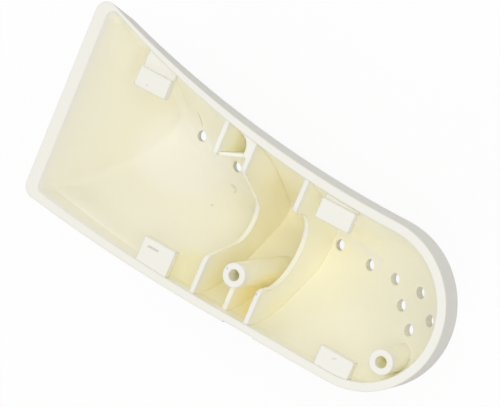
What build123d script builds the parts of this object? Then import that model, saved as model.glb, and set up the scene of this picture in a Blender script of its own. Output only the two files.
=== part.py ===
from build123d import *
import math
import os

# Half shell of a hand-held body: straight end at -X, round tail at +X.
# Frame: origin on the axis of the front screw boss, at the parting plane.
# +X runs toward the tail, +Y toward the flared long side, +Z out of the open side.

# parting-plane outline (outer edge)
END_X = -61.8            # straight end
LOW_Y = -11.4            # low long side, tail part
LOW_Y_END = -7.7         # low long side where it meets the straight end
UP_Y = 29.6              # flared long side where it meets the tail arc
UP_Y_END = 46.3          # flared long side where it meets the straight end
TIP_X = 52.4             # crown of the round tail
KNEE_X = 0.0             # where the low side turns toward the straight end
CORNER_R = 3.2           # plan radius of the two corners of the straight end
CORNER_SHARE = 0.38      # largest share of the straight end's width that a corner takes
CORNER_WALL = 0.6        # share of the wall by which an inner corner is tighter
MIN_STRAIGHT = 2.0       # straight run kept between the knee and the tail arc

# walls
RIM_WALL = 2.2           # wall at the parting plane
END_WALL = 3.7           # wall of the straight end at the parting plane
KEEL_WALL = 1.8          # wall under the deepest line
LOW_SKIRT = 5.0          # upright part of the inner wall, low side and tail
UP_SKIRT = 0.0           # the same on the flared side
OUTER_SKIRT = 7.6        # upright part of the outer wall all round the tail
RIM_ROUND = 0.3          # outer edge of the rim

# hull: the four sides run from the skirt down to a narrow strip, the keel
CAVITY_DEPTH = 34.9
KEEL_LOW_Y = 10.8        # keel strip at its tail end
KEEL_UP_Y = 13.6
KEEL_LOW_Y_END = 19.4    # keel strip at its straight end
KEEL_UP_Y_END = 21.4
KEEL_TIP_X = -6.0
KEEL_END_X = -46.2
LOW_TURN = 1.6           # how late each side turns inward; 1 is a straight slope
LOW_TURN_END = 1.5
UP_TURN = 1.1
UP_TURN_OUTER = 1.35     # the outer flared side leaves its upright strip more slowly
UP_TURN_END = 1.25
TIP_TURN = 1.5
VALLEY = 0.05            # roundness of the valley over the keel; 0 is a sharp V
VALLEY_END = 0.4         # the same toward the straight end, a broad floor
LEVELS = (0.0, 0.22, 0.44, 0.64, 0.8, 0.91, 0.975, 1.0)

# ribs
RIB = 1.3
RIB_TOP = -0.4
FRONT_RIB_X = -8.7
TAIL_RIB_X = 7.3
SADDLE_Y = 9.8
FRONT_SADDLE_R = 6.3     # round bottom of the deep saddle
FRONT_SADDLE_Z = -11.9
FRONT_MOUTH = (0.6, 23.3)
TAIL_SADDLE_R = 10.0
TAIL_SADDLE_Z = -3.9
EAR_ROUND = 2.0          # rounded shoulders beside both saddles

# screw bosses
BOSS_R = 3.0
BOSS_TOP = 0.1           # the mouths stand this far proud of the rim
BORE_R = 1.4
BOSS_DRAFT = 1.0
TAIL_BOSS = (42.0, -1.0)
FRONT_BORE_DEPTH = 14.0
TAIL_BORE_DEPTH = 6.5
GUSSET_TOP = -2.4

# pocket beside the deep saddle rib
POCKET_X = -17.4
POCKET_Y = 23.7
POCKET_JOIN_Y = 27.0
POCKET_WEB = 0.9
POCKET_WEB_TOP = -2.0
POCKET_CORNER_R = 3.4    # rounded corner between the flared side and the rib
POCKET_CORNER_Y = 27.8
POCKET_EAR = 0.9         # thickening of the rib inside the pocket

# locating tabs at the parting plane, each on a neck from the wall
TAB = (9.2, 4.9, 2.0)
TAB_TOP = -0.2
NECK_DROP = 1.1
TABS_UP = ((-39.6, 32.0), (17.2, 24.2))
TABS_LOW = ((-21.0, -4.6), (31.6, -6.8))

# vents
VENT_R = 1.4
VENT_TOP = -5.0          # the vent drills start below the tabs and rib tops
VENTS = ((-38.3, 19.0), (-25.6, 16.3), (10.5, 12.1), (21.4, 12.3), (30.3, 13.2),
         (39.1, 14.4), (35.0, 8.7), (45.1, 10.3), (40.3, 5.1))

# short slit in the low tab nearest the straight end
SLIT = (3.0, 0.35, 0.5)
SLIT_SHIFT = (-2.8, 0.5)

# relief in the parting edge of the low side
RELIEF_X = (2.0, 10.5)
RELIEF_DEEP = 0.35
RELIEF_HIGH = 2.6


def drawn_in(rim, keel, s, turn, valley):
    """Position of one side at the fraction s of its run from the rim to the keel."""
    rest = 1 - s ** turn
    return keel + (rim - keel) * math.sqrt(rest * (rest + 2 * valley) / (1 + 2 * valley))


def contour(depth, full_depth, low_skirt, up_skirt, up_turn, wall, end_wall, keel_end):
    """Closed outline of the hull at a depth; the straight end has no upright skirt."""
    s = max(0.0, depth - low_skirt) / (full_depth - low_skirt)
    s_up = max(0.0, depth - up_skirt) / (full_depth - up_skirt)
    s_end = depth / full_depth
    x_end = END_X + end_wall + (keel_end - END_X - end_wall) * s_end
    y_low = drawn_in(LOW_Y + wall, KEEL_LOW_Y, s, LOW_TURN, VALLEY)
    y_low_end = drawn_in(LOW_Y_END + wall, KEEL_LOW_Y_END, s_end, LOW_TURN_END, VALLEY_END)
    y_up = drawn_in(UP_Y - wall, KEEL_UP_Y, s_up, up_turn, VALLEY)
    y_up_end = drawn_in(UP_Y_END - wall, KEEL_UP_Y_END, s_end, UP_TURN_END, VALLEY_END)
    r = (y_up - y_low) / 2
    x_tail = drawn_in(TIP_X - wall, KEEL_TIP_X, s, TIP_TURN, VALLEY) - r
    x_knee = min(KNEE_X, x_tail - MIN_STRAIGHT)
    edge = Line((x_end, y_up_end), (x_end, y_low_end))
    edge += TangentArc((x_knee, y_low), (x_end, y_low_end), tangent=(-1, 0))
    edge += Line((x_knee, y_low), (x_tail, y_low))
    edge += ThreePointArc((x_tail, y_low), (x_tail + r, y_low + r), (x_tail, y_up))
    edge += TangentArc((x_tail, y_up), (x_end, y_up_end), tangent=(-1, 0))
    face = make_face(edge)
    corner = min(CORNER_R - CORNER_WALL * wall, CORNER_SHARE * (y_up_end - y_low_end))
    face = fillet(face.vertices().sort_by(Axis.X)[:2], corner)
    return Pos(0, 0, -depth) * face


def hull(*size):
    """Upright skirt with the drawn-in hull below it."""
    full_depth, skirt = size[:2]
    levels = [skirt + s * (full_depth - skirt) for s in LEVELS]
    sides = [contour(depth, *size) for depth in levels]
    return loft([contour(0, *size), sides[0]]) + loft(sides)


def upright(r, x, y, top, draft=0.0):
    """Round post from below the hull up to the given height, widening downward by the draft."""
    length = FULL_DEPTH + top
    foot = r + length * math.tan(math.radians(draft))
    return Pos(x, y, top - length / 2) * Cone(foot, r, length)


def block(x0, x1, y0, y1, top, bottom=None):
    """Upright block between two heights; without a bottom it goes right through the hull."""
    bottom = -FULL_DEPTH if bottom is None else bottom
    place = Pos((x0 + x1) / 2, (y0 + y1) / 2, (top + bottom) / 2)
    return place * Box(x1 - x0, y1 - y0, top - bottom)


def saddle_rib(x, notch):
    """Full-width cross rib at x, its saddle cut out and the shoulders rounded; notch in Y-Z."""
    rib = block(x - RIB / 2, x + RIB / 2, LOW_Y, UP_Y_END, RIB_TOP)
    rib -= extrude(Plane.YZ.offset(x - RIB) * notch, 2 * RIB)
    tops = rib.edges().filter_by(Axis.X).group_by(Axis.Z)[-1]
    return fillet(tops.sort_by(Axis.Y)[1:3], EAR_ROUND)


FULL_DEPTH = CAVITY_DEPTH + KEEL_WALL
keel_end = KEEL_END_X - KEEL_WALL
outer = hull(FULL_DEPTH, OUTER_SKIRT, OUTER_SKIRT, UP_TURN_OUTER, 0.0, 0.0, keel_end)
outer = fillet(outer.edges().group_by(Axis.Z)[-1], RIM_ROUND)
cavity = hull(CAVITY_DEPTH, LOW_SKIRT, UP_SKIRT, UP_TURN, RIM_WALL, END_WALL, KEEL_END_X)
shell = outer - cavity

# saddles: a round-bottomed V in front of the boss, a half round behind it
mouth = Line((FRONT_MOUTH[0], 0), (FRONT_MOUTH[1], 0))
bottom = Pos(SADDLE_Y, FRONT_SADDLE_Z) * Circle(FRONT_SADDLE_R)
deep = make_hull(bottom.edges() + mouth.edges())
half_round = Pos(SADDLE_Y, TAIL_SADDLE_Z) * Circle(TAIL_SADDLE_R)
half_round += Pos(SADDLE_Y, TAIL_SADDLE_Z / 2) * Rectangle(2 * TAIL_SADDLE_R, -TAIL_SADDLE_Z)
inside = saddle_rib(FRONT_RIB_X, deep) + saddle_rib(TAIL_RIB_X, half_round)

# bosses, with the front boss's gusset to the low side
inside += upright(BOSS_R, 0, 0, 0, BOSS_DRAFT)
inside += upright(BOSS_R, *TAIL_BOSS, 0, BOSS_DRAFT)
inside += block(-RIB / 2, RIB / 2, LOW_Y, 0, GUSSET_TOP)

# pocket walls between the flared side and the deep saddle rib
inside += block(POCKET_X - RIB / 2, POCKET_X + RIB / 2, POCKET_Y, UP_Y_END, RIB_TOP)
run_x = FRONT_RIB_X - POCKET_X
run_y = POCKET_JOIN_Y - POCKET_Y
web = block(0, math.hypot(run_x, run_y), -POCKET_WEB / 2, POCKET_WEB / 2, POCKET_WEB_TOP)
inside += Pos(POCKET_X, POCKET_Y) * Rot(0, 0, math.degrees(math.atan2(run_y, run_x))) * web
ear_x = FRONT_RIB_X - RIB / 2 - POCKET_EAR
inside += block(ear_x, FRONT_RIB_X, POCKET_JOIN_Y - POCKET_WEB, UP_Y_END, RIB_TOP)
round_x = ear_x - POCKET_CORNER_R
corner = block(round_x, ear_x, POCKET_CORNER_Y, UP_Y_END, RIB_TOP)
inside += corner - Pos(round_x, POCKET_CORNER_Y) * Cylinder(POCKET_CORNER_R, 2 * FULL_DEPTH)

# locating tabs
for x, y in TABS_UP + TABS_LOW:
    x0, x1 = x - TAB[0] / 2, x + TAB[0] / 2
    y0, y1 = y - TAB[1] / 2, y + TAB[1] / 2
    inside += block(x0, x1, y0, y1, TAB_TOP, TAB_TOP - TAB[2])
    if y > SADDLE_Y:
        inside += block(x0, x1, y, UP_Y_END, TAB_TOP - NECK_DROP, TAB_TOP - TAB[2])
    else:
        inside += block(x0, x1, LOW_Y, y, TAB_TOP, TAB_TOP - TAB[2])

shell += inside & outer

# proud boss mouths and their blind screw bores
for (x, y), depth in (((0, 0), FRONT_BORE_DEPTH), (TAIL_BOSS, TAIL_BORE_DEPTH)):
    shell += Pos(x, y, BOSS_TOP / 2) * Cylinder(BOSS_R, BOSS_TOP)
    shell -= Pos(x, y, BOSS_TOP - depth / 2) * Cylinder(BORE_R, depth)

# vents along the draw direction
for x, y in VENTS:
    shell -= Pos(x, y, VENT_TOP - FULL_DEPTH / 2) * Cylinder(VENT_R, FULL_DEPTH)

# slit in the low tab
slit = Pos(TABS_LOW[0][0] + SLIT_SHIFT[0], TABS_LOW[0][1] + SLIT_SHIFT[1])
shell -= slit * block(0, SLIT[0], -SLIT[1] / 2, SLIT[1] / 2, TAB_TOP, TAB_TOP - SLIT[2])

# relief in the parting edge
shell -= block(*RELIEF_X, LOW_Y - RELIEF_DEEP, LOW_Y + RELIEF_DEEP, 0, -RELIEF_HIGH)

os.makedirs("parts", exist_ok=True)
export_step(shell, "parts/housing_shell.step")
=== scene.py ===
"""Ivory moulded half housing on a white floor, lit by a soft studio light."""
import math

import bpy
from mathutils import Matrix, Vector


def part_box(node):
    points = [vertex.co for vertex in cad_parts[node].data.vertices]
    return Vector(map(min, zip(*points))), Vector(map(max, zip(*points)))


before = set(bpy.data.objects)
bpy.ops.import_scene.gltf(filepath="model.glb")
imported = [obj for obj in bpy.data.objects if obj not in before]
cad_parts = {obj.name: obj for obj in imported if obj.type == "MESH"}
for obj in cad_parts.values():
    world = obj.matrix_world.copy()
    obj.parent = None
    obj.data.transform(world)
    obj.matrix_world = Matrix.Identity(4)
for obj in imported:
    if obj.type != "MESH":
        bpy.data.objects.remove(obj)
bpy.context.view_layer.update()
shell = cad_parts["housing_shell"]
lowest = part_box("housing_shell")[0].z
scene = bpy.context.scene
MM = 0.001

# ---------------------------------------------------------------- camera
CAM_AT = Vector((0.17908, 0.11313, 0.42296))
CAM_RIGHT = Vector((0.81136, 0.38700, -0.43810))
CAM_UP = Vector((-0.43718, 0.89924, -0.01530))
CAM_LENS = 144.0
CAM_SENSOR = 36.0
CAM_REACH = 20.0         # metres

camera = bpy.data.cameras.new("camera")
camera.sensor_width = CAM_SENSOR
camera.lens = CAM_LENS
camera.clip_end = CAM_REACH
cam = bpy.data.objects.new("camera", camera)
scene.collection.objects.link(cam)
cam_back = CAM_RIGHT.cross(CAM_UP).normalized()
cam_turn = Matrix((CAM_RIGHT, CAM_UP, cam_back)).transposed().to_4x4()
cam.matrix_world = Matrix.Translation(CAM_AT) @ cam_turn
scene.camera = cam


# ---------------------------------------------------------------- node helpers
def new_material(name):
    """An empty node material, a function that adds nodes to it and one that links them."""
    mat = bpy.data.materials.new(name)
    mat.use_nodes = True
    mat.node_tree.nodes.clear()

    def add(kind, **values):
        """New shader node; each value is a setting of the node or the name of one of its inputs."""
        node = mat.node_tree.nodes.new("ShaderNode" + kind)
        for key, value in values.items():
            if hasattr(node, key):
                setattr(node, key, value)
            else:
                node.inputs[key.replace("_", " ")].default_value = value
        return node

    return mat, add, mat.node_tree.links.new


def ramp(add, link, value, start, end, low_out=0.0, high_out=1.0):
    """Smooth step of a value from one level to another."""
    step = add("MapRange", interpolation_type="SMOOTHSTEP", From_Min=start, From_Max=end)
    step.inputs["To Min"].default_value = low_out
    step.inputs["To Max"].default_value = high_out
    link(value, step.inputs["Value"])
    return step.outputs[0]


def blend(add, link, share, first, second):
    """Mix of two colours by a share from a node; a colour is a fixed value or a node's output."""
    mix = add("Mix", data_type="RGBA")
    for slot, colour in ((6, first), (7, second)):
        if isinstance(colour, tuple):
            mix.inputs[slot].default_value = colour
        else:
            link(colour, mix.inputs[slot])
    link(share, mix.inputs[0])
    return mix.outputs[2]


def product(add, link, first, second):
    """First value times the second, which is a number or a node's output."""
    node = add("Math", operation="MULTIPLY")
    link(first, node.inputs[0])
    if isinstance(second, float):
        node.inputs[1].default_value = second
    else:
        link(second, node.inputs[1])
    return node.outputs[0]


SPOT_EDGE, SPOT_CORE = 1.0, 0.45         # share of the half size where a spot ends and is full


def spot(add, link, place, at, half_size, tilt=0):
    """Soft-edged ellipsoid, 1 at its core: centre and half sizes in mm, turned about Z."""
    local = add("Mapping", vector_type="TEXTURE")
    local.inputs["Location"].default_value = Vector(at) * MM
    local.inputs["Rotation"].default_value = (0, 0, math.radians(tilt))
    local.inputs["Scale"].default_value = Vector(half_size) * MM
    link(place, local.inputs["Vector"])
    reach = add("VectorMath", operation="LENGTH")
    link(local.outputs[0], reach.inputs[0])
    return ramp(add, link, reach.outputs["Value"], SPOT_EDGE, SPOT_CORE)


# ---------------------------------------------------------------- ivory plastic
EDGE_IVORY = (0.92, 0.905, 0.83, 1)      # parting edge, tabs and outer side
HEAD_GLOW_IVORY = (0.945, 0.925, 0.80, 1)     # ivory with painted warm bounce light inside the flared end
TAIL_GLOW_IVORY = (0.95, 0.93, 0.79, 1)       # ivory with painted warm bounce light inside the round tail
RIB_BAY_GLOW = (0.968, 0.943, 0.79, 1)      # painted bounce light brightening the narrow bays around the ribs
# painted glow of bounced light down the deep boss bores
BORE_GLOW = (1.0, 1.0, 0.80, 1)
CLOUD_IVORY = (0.86, 0.82, 0.62, 1)
SCUFF = (0.42, 0.40, 0.33, 1)

# where the tones meet, along X and down from the parting edge; the inner tones are painted warm
# bounce light
HEAD_FROM, HEAD_TO = -8 * MM, -30 * MM
BAY_FROM, BAY_TO = -9.4 * MM, 8.0 * MM
BAY_SOFT = 1.0 * MM
FULL_GLOW_DEPTH = 3.5 * MM

# centre and half size (mm), colour and strength of each soft patch of painted light and painted
# shade inside
PAINTED_LIGHT_PATCHES = (
    ((0, 0, -10), (1.75, 1.75, 24), BORE_GLOW, 1.0),              # painted glow down the front boss bore
    ((42, -1, -6), (1.75, 1.75, 18), BORE_GLOW, 1.0),             # painted glow down the tail boss bore
    ((-14, 27, -16), (9, 9, 26), (1.0, 0.99, 0.89, 1), 1.0),       # painted bounce light lifting the corner pocket
    ((-40, 12, -33), (19, 16, 16), (0.96, 0.945, 0.89, 1), 0.8),   # painted pool of light on the floor of the flared end
    ((-15, -8, -12), (12, 8, 14), (0.94, 0.90, 0.64, 1), 1.0),     # painted warm bounce light in the corner before the rib
    ((-2, 4, -30), (10, 12, 8), (0.90, 0.865, 0.70, 1), 0.8),      # painted shade on the floor between the ribs
    ((4, -5, -13), (5.5, 8, 15), (1.0, 0.95, 0.67, 1), 0.9),       # painted amber bounce light in the corner at the gusset
)

# flow clouding from the moulding
CLOUD_SCALE = 38.0
CLOUD_RANGE = (0.35, 0.7)
CLOUD_TINT = (0.0, 0.05)
GLOSS_RANGE = (0.3, 0.75)
ROUGHNESS = (0.4, 0.5)

# centre, half size (mm), turn about Z (degrees) and strength of each small mark
MARKS = (
    ((-38.92, 23.48, -30.83), (0.34, 3.8, 4.5), 11, 0.55),     # hairline on the flared end
    ((-27.24, 29.33, -14.81), (0.55, 0.55, 0.55), 0, 0.60),    # dark speck on the flank
    ((-24.40, 11.20, -34.45), (1.40, 0.42, 0.80), -15, 0.24),  # hooked scuff, long part
    ((-23.25, 10.40, -33.95), (0.42, 0.90, 0.90), 10, 0.22),   # hooked scuff, short part
    ((-25.31, 5.59, -28.72), (0.55, 0.60, 0.60), 0, 0.26),     # scuff below it
    ((6.92, -1.53, -0.52), (0.40, 0.40, 0.40), 0, 0.50),       # speck on the tail rib
    ((-40.71, 30.80, -0.20), (0.45, 0.45, 0.45), 0, 0.20),     # speck on a flared-side tab
    ((31.29, -5.79, -0.20), (1.10, 0.32, 0.40), 20, 0.25),     # faint arc on a low tab
    ((-2.27, 0.73, 0.10), (0.35, 0.35, 0.35), 0, 0.45),        # speck on the front boss
)

# the outer side: faces that look away from the middle line, or downward
MIDDLE_FROM, MIDDLE_TO, MIDDLE_Y = -40 * MM, 25 * MM, 16 * MM
FACING_AWAY = (0.1, 0.3)
FACING_DOWN = (-0.03, -0.12)

# centre and half size (mm) of the pocket webs and the bosses, which belong to the inside
INNER_WALLS = (
    ((-14, 26, -4), (9, 5.6, 20)),
    ((0, 0, -4), (4.6, 4.6, 18)),
    ((42, -1, -3), (4.6, 4.6, 10)),
)
INNER_SOFT = (0.6, 0.1)

# satin skin
PLASTIC_IOR = 1.5
EDGE_SOFTNESS = 0.45 * MM
EDGE_SAMPLES = 6
GRAIN_SCALE = 1900.0
GRAIN_STRENGTH = 0.12
GRAIN_HEIGHT = 0.05 * MM


def outer_side(add, link, place, x, z):
    """1 on the outer side of the housing, 0 inside it."""
    normal = add("NewGeometry").outputs["True Normal"]
    along = add("Clamp", Min=MIDDLE_FROM, Max=MIDDLE_TO)
    link(x, along.inputs["Value"])
    middle = add("CombineXYZ", Y=MIDDLE_Y)
    link(along.outputs[0], middle.inputs["X"])
    link(z, middle.inputs["Z"])
    away = add("VectorMath", operation="SUBTRACT")
    link(place, away.inputs[0])
    link(middle.outputs[0], away.inputs[1])
    unit = add("VectorMath", operation="NORMALIZE")
    link(away.outputs[0], unit.inputs[0])
    facing = add("VectorMath", operation="DOT_PRODUCT")
    link(unit.outputs[0], facing.inputs[0])
    link(normal, facing.inputs[1])
    tilt = add("SeparateXYZ")
    link(normal, tilt.inputs[0])
    either = add("Math", operation="MAXIMUM")
    link(ramp(add, link, facing.outputs["Value"], *FACING_AWAY), either.inputs[0])
    link(ramp(add, link, tilt.outputs["Z"], *FACING_DOWN), either.inputs[1])
    outside = either.outputs[0]
    for at, half_size in INNER_WALLS:
        near = spot(add, link, place, at, half_size)
        outside = product(add, link, outside, ramp(add, link, near, *INNER_SOFT))
    return outside


def ivory_plastic():
    """Satin ivory: pale at the parting edge and outside, warmer inside as painted bounce light,
    with patches of painted light and painted shade and its small marks.
    """
    mat, add, link = new_material("ivory_plastic")
    place = add("TexCoord").outputs["Object"]
    axes = add("SeparateXYZ")
    link(place, axes.inputs[0])
    x, z = axes.outputs["X"], axes.outputs["Z"]

    # main tones: pale at the parting edge, painted warm bounce light deeper inside
    head = ramp(add, link, x, HEAD_FROM, HEAD_TO)
    bounce_tone = blend(add, link, head, TAIL_GLOW_IVORY, HEAD_GLOW_IVORY)
    bay_start = ramp(add, link, x, BAY_FROM - BAY_SOFT, BAY_FROM)
    bay_end = ramp(add, link, x, BAY_TO + BAY_SOFT, BAY_TO)
    bounce_tone = blend(add, link, product(add, link, bay_start, bay_end), bounce_tone, RIB_BAY_GLOW)
    tone = blend(add, link, ramp(add, link, z, 0.0, -FULL_GLOW_DEPTH), EDGE_IVORY, bounce_tone)

    # patches of painted light and painted shade, clouding and marks
    for at, half_size, colour, strength in PAINTED_LIGHT_PATCHES:
        painted_patch = spot(add, link, place, at, half_size)
        tone = blend(add, link, product(add, link, painted_patch, strength), tone, colour)
    cloud = add("TexNoise", Scale=CLOUD_SCALE, Detail=2.0, Roughness=0.5)
    link(place, cloud.inputs["Vector"])
    tint = ramp(add, link, cloud.outputs[0], *CLOUD_RANGE, *CLOUD_TINT)
    tone = blend(add, link, tint, tone, CLOUD_IVORY)
    for at, half_size, tilt, strength in MARKS:
        mark = spot(add, link, place, at, half_size, tilt)
        tone = blend(add, link, product(add, link, mark, strength), tone, SCUFF)
    tone = blend(add, link, outer_side(add, link, place, x, z), tone, EDGE_IVORY)

    # fine grain over rounded edges
    grain = add("TexNoise", Scale=GRAIN_SCALE, Detail=2.0, Roughness=0.6)
    link(place, grain.inputs["Vector"])
    ease = add("Bevel", samples=EDGE_SAMPLES, Radius=EDGE_SOFTNESS)
    bump = add("Bump", Strength=GRAIN_STRENGTH, Distance=GRAIN_HEIGHT)
    link(grain.outputs[0], bump.inputs["Height"])
    link(ease.outputs[0], bump.inputs["Normal"])

    skin = add("BsdfPrincipled", IOR=PLASTIC_IOR)
    rough = ramp(add, link, cloud.outputs[0], *GLOSS_RANGE, *ROUGHNESS)
    link(tone, skin.inputs["Base Color"])
    link(rough, skin.inputs["Roughness"])
    link(bump.outputs[0], skin.inputs["Normal"])
    link(skin.outputs[0], add("OutputMaterial").inputs[0])
    return mat


shell.data.materials.clear()
shell.data.materials.append(ivory_plastic())


# ---------------------------------------------------------------- floor
FLOOR_HALF = 3.0
FLOOR_GAP = 0.5 * MM
FLOOR_SEEN = (0.97, 0.97, 0.97, 1)       # as the camera sees it
FLOOR_BOUNCE = (0.6, 0.6, 0.6, 1)        # what it gives back to the part
FLOOR_WHITE = 0.9                        # share of plain white in what the camera sees
FLOOR_CORNERS = ((-1, -1), (1, -1), (1, 1), (-1, 1))


def white_floor():
    """Floor that the camera sees as white, with the part's shadow kept."""
    mat, add, link = new_material("white_floor")
    seen = add("LightPath").outputs["Is Camera Ray"]
    paper = add("BsdfDiffuse")
    link(blend(add, link, seen, FLOOR_BOUNCE, FLOOR_SEEN), paper.inputs["Color"])
    white = add("Emission", Strength=1.0)
    mix = add("MixShader")
    link(product(add, link, seen, FLOOR_WHITE), mix.inputs[0])
    link(paper.outputs[0], mix.inputs[1])
    link(white.outputs[0], mix.inputs[2])
    link(mix.outputs[0], add("OutputMaterial").inputs[0])
    return mat


floor_z = lowest - FLOOR_GAP
floor_points = [(x * FLOOR_HALF, y * FLOOR_HALF, floor_z) for x, y in FLOOR_CORNERS]
floor_mesh = bpy.data.meshes.new("floor")
floor_mesh.from_pydata(floor_points, [], [(0, 1, 2, 3)])
floor = bpy.data.objects.new("floor", floor_mesh)
floor.data.materials.append(white_floor())
scene.collection.objects.link(floor)

# ---------------------------------------------------------------- light
WORLD_STRENGTH = 0.55
LAMP_SIZE = 1.0
LAMP_DISTANCE = 1.6
LIGHT_BOUNCES = 20       # the bays between the ribs are lit by light that has bounced often

# name, azimuth and elevation (degrees) and power (watts)
LAMPS = (
    ("key", 27.7, 64, 8.5),
    ("back", 135, 22, 4.3),
    ("low_side", 270, 42, 4.1),
)


def softbox(name, azimuth, elevation, power):
    """Square lamp that faces the part from a direction given in degrees."""
    a, e = math.radians(azimuth), math.radians(elevation)
    toward = Vector((math.cos(a) * math.cos(e), math.sin(a) * math.cos(e), math.sin(e)))
    lamp = bpy.data.lights.new(name, "AREA")
    lamp.shape = "SQUARE"
    lamp.size = LAMP_SIZE
    lamp.energy = power
    obj = bpy.data.objects.new(name, lamp)
    obj.location = toward * LAMP_DISTANCE
    obj.rotation_euler = (-toward).to_track_quat("-Z", "Y").to_euler()
    scene.collection.objects.link(obj)


world = bpy.data.worlds.new("studio")
world.use_nodes = True
background = world.node_tree.nodes["Background"]
background.inputs["Color"].default_value = (1, 1, 1, 1)
background.inputs["Strength"].default_value = WORLD_STRENGTH
scene.world = world

for lamp_values in LAMPS:
    softbox(*lamp_values)

scene.view_settings.view_transform = "Standard"
scene.cycles.max_bounces = LIGHT_BOUNCES
scene.cycles.diffuse_bounces = LIGHT_BOUNCES
